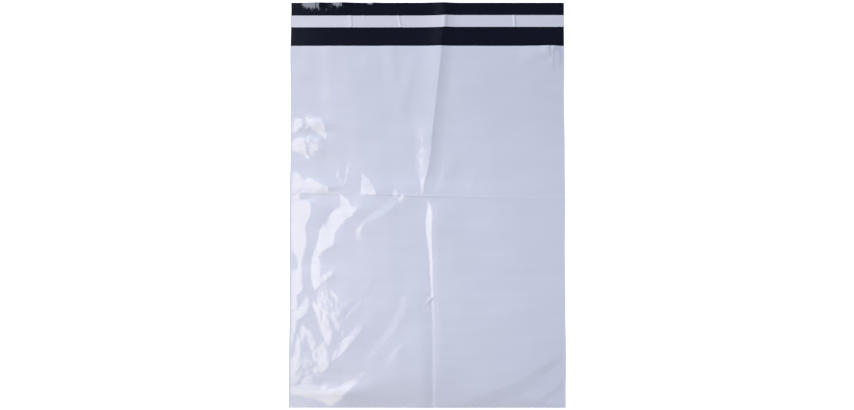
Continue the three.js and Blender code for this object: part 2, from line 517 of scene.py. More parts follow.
# Folds of both walls and the flap
SHARED_FACETS = (
    Facet(
        "upright fold above the level fold",
        (
            (1, 417, 444.8), (27, 415, 443.3), (45, 413, 441.5), (48, 413, 441.3), (60, 411.5, 440.3),
            (90, 409.5, 437), (118, 409, 434), (126, 410, 433), (130, 414, 432.5), (134.5, 414, 432),
            (137, 413, 431.8), (148, 413, 431), (150, 414.5, 430.8), (152, 414.5, 430.6), (154, 413, 430.3),
            (166, 414.5, 428.6), (169, 415.7, 428), (172, 417, 427.3), (175, 418, 426.5),
            (180, 419.2, 424.9), (188, 420.5, 423.4), (194, 421.5, 422.5),
        ),
        (
            0.15, 0.15, 0.14, 0.125, 0.125, 0.125, 0.13, 0.125, 0.157, 0.157, 0.132, 0.134, 0.16, 0.16,
            0.138, 0.152, 0.165, 0.175, 0.18, 0.2, 0.22, 0.24,
        ),
        14,
        Profile.HOLLOW,
        (20, 20, 20, 20, 20, 20, 20, 12, 6, 6, 7, 7, 6, 6, 6, 6, 5, 5, 4, 3, 1, 0),
    ),
    Facet(
        "left line of the crossing",
        (
            (164, 415, 416), (169, 416, 418.3), (172, 416.7, 419.2), (176, 418, 420.3), (181, 419.4, 421.4),
            (186, 420.2, 421.6),
        ),
        0.07,
        5,
    ),
    Facet(
        "upright fold below the level fold",
        (
            (199, 426.5, 427), (203, 427, 428.5), (205, 428, 430.5), (208, 427.6, 431.3), (213, 426.7, 432),
            (225, 425.8, 431.8), (232, 426, 431.7), (238, 426.8, 431.7), (243, 427.5, 431.8),
            (252, 428.6, 432), (262, 429.6, 432.4), (280, 430.4, 433), (290, 430.8, 433.2),
            (320, 432, 434.4), (345, 432.4, 435), (385, 432.6, 435.5), (410, 432.6, 435.5),
        ),
        (
            0.2, 0.26, 0.26, 0.26, 0.26, 0.26, 0.26, 0.26, 0.26, 0.26, 0.24, 0.22, 0.2, 0.17, 0.16,
            0.18, 0.18,
        ),
        (10, 16, 22, 28, 36, 46, 56, 64, 70, 80, 90, 90, 90, 90, 90, 90, 90),
        Profile.ROUND,
    ),
    Facet(
        "shoulder of the upright fold below",
        (
            (203, 431, 432), (206, 431.5, 437), (232, 431.7, 437), (262, 432.4, 437.5), (290, 433.2, 438.5),
            (345, 435, 440), (372, 435.2, 438), (384, 435.5, 436.5),
        ),
        0.07,
        (6, 10, 50, 80, 80, 80, 80, 80),
        Profile.ROUND,
    ),
    Facet(
        "soft curl of the flap's edge",
        ((1, 300, 346), (5, 301, 346), (8, 303, 344), (10.5, 308, 336), (12.5, 318, 322)),
        (0.03, 0.026, 0.02, 0.016, 0.014),
        14,
    ),
    Facet(
        "first curl of the flap's edge",
        ((1, 302, 319), (4.5, 302.6, 319), (6, 304, 318.8), (7.4, 306, 318.5), (8.2, 309, 317.5)),
        (0.085, 0.07, 0.05, 0.035, 0.025),
        9,
    ),
    Facet(
        "second curl of the flap's edge",
        ((1, 331.5, 343), (4.5, 332.5, 342), (6.2, 335, 341)),
        (0.11, 0.095, 0.075),
        9,
    ),
    Facet("third curl of the flap's edge", ((1, 366, 373), (4.4, 367.5, 373)), 0.17, 9),
)  # fmt: skip

# Creases of both walls, with the crests from the bottom up or from left to right
SHARED_CREASES = (
    Crease(
        "swell to the left of the upright fold below",
        ((-5, -240, 0.9, 26, 14), (-5, -150, 0.6, 26, 14), (-6, -53, 0.2, 20, 12), (-8, -20, 0, 16, 9)),
        Profile.ROUND,
    ),
    Crease(
        "level fold",
        (
            (-162.5, 13.2, 0.3, 1.6, 1.6), (-100, 12.1, 0.35, 1.6, 1.6), (-32, 10, 0.45, 2, 2),
            (-2, 8.9, 0.5, 3, 3), (50, 8.2, 0.28, 4, 4), (162.5, 5.8, 0.22, 5, 5),
        ),
        Profile.HOLLOW,
    ),
)  # fmt: skip

# Flats of the slack front wall that catch the light, and the dark lines between them, with their edges
# read in the picture. Where two overlap, the later one counts.
FRONT_FLATS = (
    Flat("upper chip of the left edge", ((86, 291, 293), (88.5, 290.5, 293.5), (90, 291, 293)), 0.02),
    Flat("chip of the left edge", ((104, 290.5, 291.5), (107, 290.5, 292.8), (110, 290.5, 292)), 0.03),
    Flat("tongue", (
        (116.5, 304, 320), (120, 305.5, 322), (125, 308.5, 323.3), (130, 312.8, 325), (135, 319.5, 326.5),
        (138, 325, 327),
    ), 0.026),
    Flat("crush under the tongue", (
        (136, 304, 318), (140, 304, 321), (150, 304, 321), (157, 306, 316),
    ), -0.006),
    Flat("crush left of the tongue", (
        (118.5, 298, 302), (121, 291.5, 303), (124, 290.5, 303), (127, 290.5, 301), (131, 290.5, 298),
    ), 0.035),
    Flat("chip under the tongue", ((122, 306.5, 309), (126, 304, 309), (131, 300.5, 304)), 0),
    Flat("flat at the edge under the tongue", (
        (137.5, 297, 304), (140, 292.5, 304.3), (145, 291.2, 304.7), (150, 292.5, 305.3), (153, 301, 307),
        (155, 304, 308.5), (158, 306, 308.5),
    )),
    Flat("chip beside it", ((135.5, 304.5, 310.5), (139, 304.7, 311), (142.5, 305.5, 309)), 0.015),
    Flat("slit beside it", (
        (141.5, 304.7, 306.8), (146, 305, 307.2), (150, 305.8, 308), (154.5, 307.6, 309.6),
    ), -0.09),
    Flat("mottled flat", (
        (137, 312, 316), (141, 311.5, 318.5), (146, 311, 319), (151.5, 311.5, 315),
    ), 0.015),
    Flat("first streak above the level fold", (
        (171.5, 290.5, 294), (174, 290.5, 300), (178.3, 290.5, 304),
    ), 0.012),
    Flat("band above the level fold", (
        (179, 290.5, 312), (181, 290.5, 316), (184, 290.5, 323), (187, 290.5, 328), (190.7, 290.5, 328),
    ), 0.025),
    Flat("strip in the level fold", ((191.7, 290.5, 299), (194, 290.5, 302))),
    Flat("second strip in the level fold", ((195.5, 290.5, 298.5), (199.5, 290.5, 299))),
    Flat("left edge under the level fold", (
        (201, 290.5, 308), (205, 290.5, 310.5), (211, 290.5, 311), (217, 290.5, 310), (221, 290.5, 307.5),
        (226, 290.5, 305), (231, 290.5, 304.5), (237, 290.5, 306), (243, 290.5, 306.3), (248, 290.5, 305),
        (252, 291.5, 304), (258, 293.5, 302.5), (263, 294.5, 302), (267, 293.5, 301.8),
        (271, 290.5, 301.5), (284, 290.5, 301.3), (288, 290.5, 304), (291, 290.5, 301),
        (295, 290.5, 296.5), (306, 290.5, 296.5), (310, 290.5, 297.5),
    )),
    Flat("notch in the left edge", (
        (246, 290, 290.8), (252, 290, 292), (258, 290, 294), (263, 290, 295.3), (267, 290, 295),
        (271, 290, 291),
    ), -0.09),
    Flat("hollow beside the left edge", (
        (206, 312, 338), (213, 311.5, 330), (220, 309, 325), (226, 306, 320.5), (231, 305.5, 318.5),
        (237, 307, 317.5), (243, 307, 316), (250, 305.5, 313.5), (256, 304, 312), (263, 303, 310.5),
        (271, 302.5, 309.8), (280, 302.3, 310.5), (285, 304, 311.5),
    ), -0.07),
    Flat("crescent under the level fold", (
        (194, 339.8, 340.5), (198, 340, 345), (200, 340.5, 349.5), (203, 341.3, 350), (206, 340.5, 351),
        (208, 337, 354), (210, 334.5, 357), (213, 331.7, 355), (216, 329.5, 350.5), (220, 326.5, 345.5),
        (225, 322, 341), (230, 319.7, 336.5), (235, 319, 335), (240, 318, 333), (243, 317.2, 334),
        (246, 316, 332.5), (250, 314.5, 325.5), (253, 313.7, 320), (256, 313, 317.5),
    )),
    Flat("horn of the crescent", (
        (255, 313, 317.5), (260, 312, 319), (265, 311, 320), (270, 310.7, 319.7), (280, 311.5, 320.5),
        (283, 313, 322), (286, 313.5, 319), (290, 312.5, 314),
    )),
    Flat("spur of the crescent", (
        (264.5, 333, 334), (269, 330, 334), (272, 327.5, 333), (275, 322, 331.5), (278, 321, 328.5),
        (281.5, 320.5, 325),
    ), 0.02),
    Flat("vee left arm", ((171, 337, 339.5), (174, 336, 339.5), (176.5, 336.2, 338)), 0.008),
    Flat("vee lower left arm", ((176.5, 337, 339.5), (181, 339.5, 341.7), (185.5, 342, 344)), -0.012),
    Flat("vee right arm", (
        (163, 347.3, 349.6), (170, 346.4, 348.6), (176, 345.2, 347.4), (182, 343.8, 346),
        (186, 342.5, 344.5),
    ), -0.012),
    Flat("sail above the level fold", (
        (174.5, 361.5, 364), (178, 362, 367.5), (181, 362.3, 370), (184, 362, 372.3), (187, 361, 374.3),
        (190, 360, 375.5), (194.6, 359.8, 375),
    ), 0.02),
    Flat("left lobe of the heart", ((190.5, 392.5, 396.5), (194, 391.5, 396.5), (198, 394.5, 398)), 0),
    Flat("right lobe of the heart", (
        (194.5, 401, 404), (198, 398.5, 404), (200, 398, 402.5), (203.5, 400.5, 401.5),
    ), 0.005),
    Flat("patch under the sail", (
        (221.5, 361.5, 365), (226, 360.8, 363.5), (230, 356.5, 361.5), (235, 356, 361),
        (240, 357.5, 360.5),
    ), -0.02),
    Flat("streak under the sail", (
        (203, 386, 398), (209, 378, 391), (215, 369, 382.5), (221, 363, 374),
    ), -0.04),
    Flat("crushed edge", (
        (300, 315, 328), (306, 317, 338), (312, 318, 343), (322, 320, 342), (327, 322, 340),
    ), -0.028),
    Flat("crush below the blades", (
        (359, 301, 309), (364, 300, 314), (369, 299, 318), (376, 290.5, 318), (380, 290.5, 318),
    ), 0),
    Flat("streaks above the corner", ((378, 290.5, 317), (383, 290.5, 316), (388.8, 290.5, 320)), 0.004),
    Flat("patch in the dark wedge", ((315, 309.5, 316), (320, 308.5, 317.5), (327, 311, 318)), -0.05),
    Flat("quad in the crushed edge", (
        (297, 306, 307.5), (300, 304.5, 308.4), (304, 302, 308.5), (308, 298.8, 308), (310, 297, 307.6),
        (312.5, 290.5, 306.5), (316, 290.5, 303.5), (319.5, 290.5, 299.5), (321, 290.5, 296.9),
        (327, 290.5, 296.5), (331, 290.5, 295.5), (338, 290.5, 293.5), (345, 290.5, 291.5),
        (349, 290.5, 290.8),
    ), 0.02),
    Flat("dark line beside the blades", (
        (321, 297, 300), (327, 296.6, 299.8), (331, 295.6, 298.8), (338, 293.6, 295.6), (343, 292.2, 294),
        (348, 291, 293.2), (353, 290.6, 292.4), (357, 290.5, 291.2),
    ), -0.1),
    Flat("left blade in the crushed edge", (
        (336.5, 297, 299.5), (339, 295.3, 299.6), (343, 294, 300), (348, 293.3, 300.5), (353, 292.5, 301),
        (357, 291, 300.5), (361, 290.5, 299.6), (367, 290.5, 299.5), (372, 290.5, 298.5),
    ), 0.02),
    Flat("tip of the left blade", (
        (322, 300.4, 301.5), (326, 300.6, 303.7), (330, 300.4, 305.2), (334, 300.3, 305.2),
        (338, 300.6, 304), (342, 302.2, 303.2),
    ), 0.02),
    Flat("right blade in the crushed edge", (
        (325, 302.8, 303.8), (328, 304.3, 306.8), (331, 305.6, 310.2), (334, 306.1, 312.3),
        (337.5, 306.6, 313.8), (341, 307.3, 315), (343.5, 308, 315.8), (347, 309.4, 314.6),
        (350.5, 311, 312.6),
    ), 0.02),
    Flat("upper mass in the crushed edge", (
        (299, 310, 311), (304, 312, 315.5), (308, 313.5, 321), (311, 314.7, 327.5), (315, 316, 329),
        (320, 317.7, 328.5), (325, 319.4, 330), (328, 320.6, 327.5), (333, 322, 327), (338, 323.2, 325.5),
    ), 0.01),
    Flat("right mass in the crushed edge", (
        (311.5, 331, 334.5), (314, 329.5, 336.5), (318, 329, 338.5), (322, 330.5, 340.3),
        (326, 332.8, 341.4), (329.5, 337, 340.5),
    ), 0.012),
    Flat("stripe in the crushed edge", (
        (328.5, 328, 331), (332, 327, 332.3), (337, 325.5, 332.2), (342, 324.7, 331.2), (346, 326.5, 329),
    ), 0.012),
    Flat("sliver in the crushed edge", ((329, 340.5, 342), (333, 341.5, 344), (338, 342, 343.8)), 0.005),
    Flat("lower mass in the crushed edge", (
        (345, 319, 322.5), (348.5, 315.5, 326), (351, 312.7, 326.3), (357, 312.1, 326),
        (360.5, 313.2, 328.2), (364, 315.5, 328.4), (367, 317.6, 328), (370, 314, 325), (373, 313, 320),
    ), 0.012),
    Flat("slit in the lower mass", ((349, 321.4, 322.8), (356, 321.8, 323)), -0.04),
    Flat("dark line under the lower mass", (
        (357, 309.5, 312), (363, 312, 314.8), (368, 315, 318),
    ), -0.07),
    Flat("dark notch under the blades", (
        (364, 300.5, 303), (367, 298.5, 302.5), (371, 297.5, 299.5),
    ), -0.06),
    Flat("second dark notch under the blades", (
        (366, 308.5, 311), (371, 308, 310.8), (375, 309, 311.5),
    ), -0.06),
    Flat("pale patch above the corner", (
        (372, 290.5, 298), (376, 290.5, 299.5), (381, 290.5, 297), (385, 290.5, 293),
    ), 0.004),
    Flat("dark slant above the corner", (
        (368, 303, 306), (374, 301, 304.5), (380, 298.5, 302), (386, 293, 300),
    ), -0.06),
    Flat("pale slant above the corner", (
        (376, 306, 309), (380, 303.5, 311), (385, 301.5, 316), (388.8, 301, 319),
    ), 0.006),
    Flat("dark notch above the corner", (
        (371, 309, 311.5), (376, 310.5, 313.5), (381, 313, 317.5),
    ), -0.06),
    Flat("first chip above the crushed edge", (
        (289, 329, 331.5), (294, 330, 335), (297.5, 332, 336),
    ), 0.01),
    Flat("second chip above the crushed edge", ((301.5, 344, 347.5), (305.5, 342.5, 345)), 0.005),
    Flat("slanting ridge in the lower left", (
        (327, 356.5, 361), (332, 351.4, 360.2), (336, 347.8, 357.7), (340, 344.3, 354.4),
        (343, 340.3, 351.2), (346, 337.8, 348.2), (350, 335.3, 344.7), (354, 333.3, 341),
        (357, 331.8, 338.2), (360, 330.5, 334.5),
    ), 0.002),
    Flat("streak above the slanting ridge", (
        (301, 358, 362), (308, 351.5, 357), (313, 347.5, 351.5), (319, 344, 347.5),
    ), -0.016),
    Flat("long low slanting ridge", (
        (296, 401, 406), (305, 399.5, 407), (314, 395.5, 404.5), (322, 391, 400), (330, 387, 395.5),
    ), -0.04),
    Flat("lower end of the long ridge", (
        (332, 385, 392), (340, 379, 387), (348, 373, 380), (356, 366, 372),
    ), -0.046),
    Flat("short slanting ridge", (
        (345, 397, 402), (355, 390, 396.5), (361, 386, 392.5), (371, 381, 386.5),
    ), -0.05),
    Flat("tooth above the corner", (
        (382.8, 324, 325.5), (385.5, 321.5, 327), (388.8, 319.5, 326),
    ), 0.006),
    Flat("rise to the bottom-left corner", (
        (377.5, 356, 358), (380, 353, 358.5), (383.5, 347.5, 356.3), (385, 340.5, 355), (388, 335, 352),
        (391, 333, 349), (394, 332, 345.8), (398, 331, 341), (402, 330.5, 337), (406.5, 330.5, 332),
    ), 0.002),
    Flat("left arm of the corner", (
        (388.8, 290.5, 333), (392, 290.5, 333), (394.5, 290.5, 332.5), (397, 299, 332), (397.6, 312, 332),
        (399.5, 316, 332), (402, 321.5, 332), (406.5, 330, 331),
    ), 0.024),
    Flat("drop beside the corner", (
        (372.5, 360, 363.5), (375, 359.3, 363.5), (377.5, 359, 361.5),
    ), 0.015),
    Flat("second drop beside the corner", ((377.5, 368.6, 371), (381.5, 368.6, 371)), -0.01),
)  # fmt: skip

# Creases of the slack front wall alone, with the crests from the bottom up
FRONT_CREASES = (
    Crease(
        "long fold across the bottom-right corner",
        (
            (50.4, -229.5, 0.6, 60, 15), (86, -216.4, 1.4, 60, 14), (109.6, -208.7, 1.4, 54, 12),
            (121.5, -201, 1.3, 50, 10), (133.3, -192.8, 1.2, 44, 9), (145.2, -184.5, 1, 34, 8),
            (154.6, -177.4, 0.5, 16, 7),
        ),
    ),
    Crease(
        "second fold across the bottom-right corner",
        (
            (125, -233, 0.1, 16, 6), (134, -229, 0.5, 20, 6), (145.2, -221, 0.7, 22, 6),
            (157, -210.5, 0.5, 14, 6),
        ),
    ),
    Crease(
        "turned-down corner at the right end of the mouth",
        ((160, 170, 0.2, 20, 3), (155, 180, 1.9, 34, 7), (149.5, 189, 3.4, 45, 10)),
    ),
    Crease(
        "pinch at the right end of the mouth",
        ((148, 174, 0, 3, 2), (149.4, 182, 0.8, 3.3, 2), (150.2, 189, 1, 3.3, 2)),
    ),
    Crease(
        "second pinch at the mouth",
        ((145.3, 173, 0, 8, 3.6), (144, 181, 1.1, 9, 3.6), (142.9, 189, 1.3, 9, 3.6)),
    ),
    Crease(
        "line under the pinch",
        ((149.3, 161, 0, 5, 2.2), (149.2, 171, 0.7, 5, 2.2), (149.1, 178, 0, 5, 2.2)),
    ),
    Crease(
        "faint slanting line on the right",
        ((86, 38, 0, 3, 3), (104, 50, 0.25, 3, 3), (122, 62, 0, 3, 3)),
    ),
    Crease(
        "first soft ridge below the mouth",
        ((-151, 130, 0, 14, 10), (-147, 160, 0.13, 14, 9), (-140, 184, 0.13, 14, 9)),
        Profile.ROUND,
    ),
    Crease(
        "second soft ridge below the mouth",
        ((-114.7, 152, 0, 18, 10), (-114, 186, 0.12, 18, 10)),
        Profile.ROUND,
    ),
    Crease(
        "third soft ridge below the mouth",
        ((-72.7, 134, 0, 14, 9), (-74, 172, 0.25, 14, 9)),
        Profile.ROUND,
    ),
    Crease(
        "fourth soft ridge below the mouth",
        ((-43, 132, 0, 16, 9), (-39.5, 154, 0.35, 16, 9), (-44, 187, 0.35, 16, 9)),
        Profile.ROUND,
    ),
    Crease(
        "soft ridge beside the upright fold",
        ((-29, 96, 0, 16, 10), (-29, 118, 0.4, 16, 10), (-23, 142, 0.4, 16, 10), (-16, 172, 0.2, 14, 10)),
        Profile.ROUND,
    ),
    Crease(
        "soft fan beside the crossing",
        ((13, 14, 0.2, 6, 14), (22, 36, 0.5, 8, 16), (33, 62, 0, 8, 14)),
        Profile.ROUND,
    ),
    Crease(
        "second soft fan beside the crossing",
        ((51, 10, 0.15, 9, 9), (55, 30, 0.2, 9, 9), (58, 52, 0, 9, 9)),
        Profile.ROUND,
    ),
    Crease(
        "kink across the upright fold",
        ((-2.8, -119, 0.2, 2.5, 3), (3, -113, 0.8, 2.5, 3), (7.8, -108.7, 0.2, 2.5, 3)),
    ),
)  # fmt: skip

BOTTOM_ROLL = Crease(
    "roll above the bottom",
    ((-82, -207, 1.3, 40, 30), (-65, -210, 2.2, 50, 28), (-32, -205, 2.4, 60, 33), (3, -195, 1.8, 60, 40)),
    Profile.ROUND,
)

CRUMPLES = (
    Crumple("crush of the upper mass", (-115, -126), (23, 28), (7, 3.5), 0.13, -58, 11, 1.2),
    Crumple("crush of the lower mass", (-125, -176), (15, 26), (7, 3.5), 0.08, 55, 12),
    Crumple("streaks above the corner", (-142, -198), (28, 17), (8, 3.5), 0.12, 12, 7, 1.2),
    Crumple("crush beside the tongue", (-155, 94), (14, 10), (4.5, 4), 0.12, 30, 3, 1.4),
    Crumple("crush under the tongue", (-138, 70), (26, 14), (5, 4), 0.12, 30, 9, 1.4),
    Crumple("band above the level fold", (-143, 25), (34, 13), (9, 3), 0.12, 2, 17, 0.8),
    Crumple("crush of the crescent", (-100, -8), (14, 10), (5, 3), 0.08, 35, 2, 0.8),
    Crumple("crush of the left edge", (-156, -40), (12, 70), (9, 6), 0.05, 0, 23, 0.35),
    Crumple("crush of the bottom-left corner", (-151, -236), (24, 6), (5, 2.5), 0.12, 15, 13),
    Crumple("crush of the upright fold", (-5, 62), (15, 40), (6, 4), 0.06, 0, 5, 0.7),
    Crumple("crush of the strip below", (2, -40), (7, 70), (4, 4), 0.08, 0, 21, 0.8),
    Crumple("crush where the folds cross", (-4, 11), (8, 7), (2.5, 2), 0.12, 0, 8),
    Crumple("crush of the slanting ridge", (-98, -163), (26, 26), (8, 4), 0.05, 50, 61, 0.4),
    Crumple("slanting streaks in the lower left", (-66, -140), (66, 90), (34, 7), 0.13, 57, 37, 0),
    Crumple("fine crumple of the left half", (-100, -60), (110, 220), (8, 5), 0.05, 40, 51, 0.3),
)
RAGGED_EDGES = (
    Crumple("ragged edges across", (0, 0), (1000, 1000), (4, 3.5), 1.1, 20, 41),
    Crumple("ragged edges along", (0, 0), (1000, 1000), (3.5, 4), 1.1, 20, 43),
)
FLAP_FOLDS = (
    Crumple("crush along the flap's edge", (-112, 235), (46, 9), (5, 2), 0.08, -55, 31, 1.1),
    Crease(
        "squiggle on the flap",
        ((-159, 204, 0.02, 1.2, 1.2), (-156.2, 198.6, 0.035, 1.2, 1.2), (-151.4, 197.6, 0.02, 1.2, 1.2)),
    ),
    Crease(
        "second squiggle",
        ((-156.8, 196.2, 0.02, 1.2, 1.2), (-152, 195, 0.035, 1.2, 1.2), (-147.3, 193.2, 0.02, 1.2, 1.2)),
    ),
)

SWELLS = (
    Swell(0.16, 72, 12, 0.1),
    Swell(0.14, 95, 75, 0.4),
    Swell(0.10, 48, 130, 0.7),
    Swell(0.05, 26, 5, 0.2),
    Swell(0.04, 21, 65, 0.9),
)

LINER_KINKS = (
    Crease("kink at the left", ((-90.2, 209, 0.7, 6, 1), (-90.8, 228, 0.7, 6, 1))),
    Crease("short kink", ((-75.5, 217, 0, 1.6, 1.6), (-75.5, 228, 0.8, 1.6, 1.6))),
    Crease("slanting kink", ((-31.5, 209, 0.8, 2, 2.2), (-35, 228, 0.8, 2, 2.2))),
    Crease("kink on the upright fold", ((20.6, 209, 1, 3, 3.4), (21.4, 228, 1, 3, 3.4))),
    Crease("kink at the right", ((104, 209, 0.9, 2, 2.6), (103, 228, 0.9, 2, 2.6))),
)


@dataclass(frozen=True)
class MailerShape:
    """Where the film of the bag lies, in millimetres."""

    half_width: float
    bottom: float
    mouth: float
    top: float
    film: float = 0.06
    side_weld: float = 2.0
    wall_gap: float = 0.12
    lower_puff: float = 3.0
    upper_puff: float = 1.3
    side_rise: float = 100.0
    bottom_rise: float = 28.0
    mouth_drop: float = 34.0
    mouth_share: float = 0.35
    lip_drop: float = 0.95
    free_rise: float = 4.0
    calm_edge: float = 40.0
    level_row: float = 10.0
    change_over: float = 26.0
    wander: float = 0.3
    wander_depth: float = 14.0
    wander_lengths: tuple[float, float] = (31.0, 13.7)
    short_wander: float = 0.6
    short_phase: float = 2.0

    def back(self, x: np.ndarray, y: np.ndarray) -> np.ndarray:
        """Height of the back wall and the flap.

        Args:
            x: Places across the bag.
            y: Places along the bag.

        Returns:
            Heights over the floor.
        """
        folds = SHARED_FACETS + SHARED_CREASES + FLAP_FOLDS
        return sum(fold.heights(x, y) for fold in folds)

    def gap(self, x: np.ndarray, y: np.ndarray) -> np.ndarray:
        """Gap between the walls: next to none at the welds.

        Args:
            x: Places across the bag.
            y: Places along the bag.

        Returns:
            Heights of the front wall over the back wall.
        """
        inside = self.half_width - self.side_weld - np.abs(x)
        held = smooth(inside / self.free_rise) * smooth((y - self.bottom) / self.free_rise)
        folds = sum(fold.heights(x, y) for fold in FRONT_CREASES + CRUMPLES)
        calm = smooth(np.minimum(inside, y - self.bottom) / self.calm_edge)
        waves = calm * sum(swell.heights(x, y) for swell in SWELLS)
        return self.wall_gap + np.maximum(0, self.slack.heights(x, y) + held * (folds + waves))

    @cached_property
    def slack(self) -> HeightGrid:
        """The slack front wall, settled once."""
        film = SlackFilm(self.half_width - self.side_weld, self.bottom, self.top)
        return film.settle(self.puff, FRONT_FLATS, RAGGED_EDGES)

    def puff(self, x: np.ndarray, y: np.ndarray) -> np.ndarray:
        """Rise of the front wall before it settles: most in the slack lower half.

        Args:
            x: Places across the bag.
            y: Places along the bag.

        Returns:
            Heights, zero at the welds and at the bottom.
        """
        from_weld = eased((self.half_width - self.side_weld - np.abs(x)) / self.side_rise)
        from_bottom = eased((y - self.bottom) / self.bottom_rise)
        from_mouth = smooth((self.mouth - y) / self.mouth_drop)
        upper = smooth((y - self.level_row) / self.change_over)
        puff = self.lower_puff + (self.upper_puff - self.lower_puff) * upper
        puff = puff * (self.mouth_share + (1 - self.mouth_share) * from_mouth)
        return puff * np.minimum(from_weld, from_bottom) + BOTTOM_ROLL.heights(x, y)

    def crush(self, x: np.ndarray, y: np.ndarray) -> np.ndarray:
        """How strongly the front wall or the flap is crushed into fine grain.

        Args:
            x: Places across the bag.
            y: Places along the bag.

        Returns:
            Grain of the strongest patch at each place, 0 where the film is smooth.
        """
        patches = [fold for fold in CRUMPLES + FLAP_FOLDS if isinstance(fold, Crumple)]
        return np.max([patch.grain * patch.fade(x, y) for patch in patches], axis=0)

    def front(self, x: np.ndarray, y: np.ndarray) -> np.ndarray:
        """Height of the front wall."""
        return self.back(x, y) + self.gap(x, y)

    def lip(self) -> float:
        """Line along the bag where the slack front wall ends, a little short of the mouth."""
        return self.mouth - self.lip_drop

    def cut_length(self) -> float:
        """Length of the flat cut: flap, back and front."""
        return self.top - self.bottom + self.mouth - self.bottom

    def edge_wander(self, x: np.ndarray, y: np.ndarray) -> np.ndarray:
        """Places across the bag with its cut edges a little out of true.

        Args:
            x: Places across the bag.
            y: Places along the bag.

        Returns:
            The places, moved only close to the edges.
        """
        near = smooth(1 - (self.half_width - np.abs(x)) / self.wander_depth)
        long, short = self.wander_lengths
        drift = np.sin(y / long + np.sign(x))
        drift = drift + self.short_wander * np.sin(y / short + self.short_phase * np.sign(x))
        return x + self.wander * drift * near

    def fold_place(self, row: np.ndarray) -> np.ndarray:
        """Place across the bag of the upright fold at a line along the bag."""
        fold = sorted((y, x) for x, y in UPRIGHT_FOLD)
        return np.interp(row, [y for y, _ in fold], [x for _, x in fold])

    def column(self, x: np.ndarray, row: float) -> np.ndarray:
        """Lines across the bag, counted from the upright fold, that pass through places on a row.

        Args:
            x: Places across the bag.
            row: Line along the bag.

        Returns:
            The lines.
        """
        fold = self.fold_place(row)
        return (x - fold) / (1 - np.sign(x - fold) * fold / self.half_width)

    def along_folds(self, column: np.ndarray, row: np.ndarray) -> tuple[np.ndarray, np.ndarray]:
        """Moves mesh crossings so that the middle lines run along the two folds.

        Args:
            column: Lines across the bag, counted from the upright fold.
            row: Lines along the bag.

        Returns:
            Places x and y of the crossings.
        """
        x = column + self.fold_place(row) * (1 - np.abs(column) / self.half_width)
        rise = np.interp(x, *zip(*LEVEL_FOLD)) - self.level_row
        reach = np.where(
            row > self.level_row, self.mouth - self.level_row, self.level_row - self.bottom
        )
        near = np.maximum(0, 1 - np.abs(row - self.level_row) / reach)
        return x, row + rise * near


def smooth(share: np.ndarray) -> np.ndarray:
    """Eases from 0 to 1 over a share from 0 to 1, level at both ends."""
    share = np.clip(share, 0, 1)
    return share**2 * (3 - 2 * share)


def eased(share: np.ndarray) -> np.ndarray:
    """Rises from 0 to 1 over a share from 0 to 1, steep at the start and level at the end."""
    return 1 - (1 - np.clip(share, 0, 1)) ** 2


def stepped(start: float, stretches: Stretches) -> np.ndarray:
    """Lines from a start through stretches of even steps.

    Args:
        start: First line.
        stretches: End of each stretch and the largest step in it.

    Returns:
        The lines in order, with both ends.
    """
    lines = [start]
    for end, step in stretches:
        count = int(np.ceil(abs(end - lines[-1]) / step))
        lines.extend(np.linspace(lines[-1], end, count + 1)[1:])
    return np.array(lines)


def grid_piece(name: str, places: np.ndarray, cut: np.ndarray) -> bpy.types.Object:
    """A sheet whose mesh is a grid, with its flat cut as the UV map.

    Args:
        name: Name of the piece.
        places: Rows by columns of places, in millimetres.
        cut: Rows by columns of places on the flat cut, in millimetres.

    Returns:
        The object, linked to the scene and shaded smooth between its creases and cut edges.
    """
    rows, columns = places.shape[:2]
    sheet = bmesh.new()
    sheet.loops.layers.uv.new(CUT_MAP)
    bmesh.ops.create_grid(sheet, x_segments=columns - 1, y_segments=rows - 1, size=1, calc_uvs=True)
    for vertex, place in zip(sheet.verts, (places * MM).reshape(-1, 3)):
        vertex.co = place
    sheet.normal_update()
    for edge in sheet.edges:
        edge.smooth = edge.calc_face_angle(np.pi) < CREASE_ANGLE
    mesh = bpy.data.meshes.new(name)
    sheet.to_mesh(mesh)
    sheet.free()
    corners = np.empty(len(mesh.loops), np.int32)
    mesh.loops.foreach_get("vertex_index", corners)
    flat = (cut.reshape(-1, 2) * MM).astype(np.float32)
    mesh.uv_layers[CUT_MAP].data.foreach_set("uv", flat[corners].ravel())
    mesh.polygons.foreach_set("use_smooth", np.ones(len(mesh.polygons), bool))
    mesh.update()
    piece = bpy.data.objects.new(name, mesh)
    bpy.context.scene.collection.objects.link(piece)
    return piece


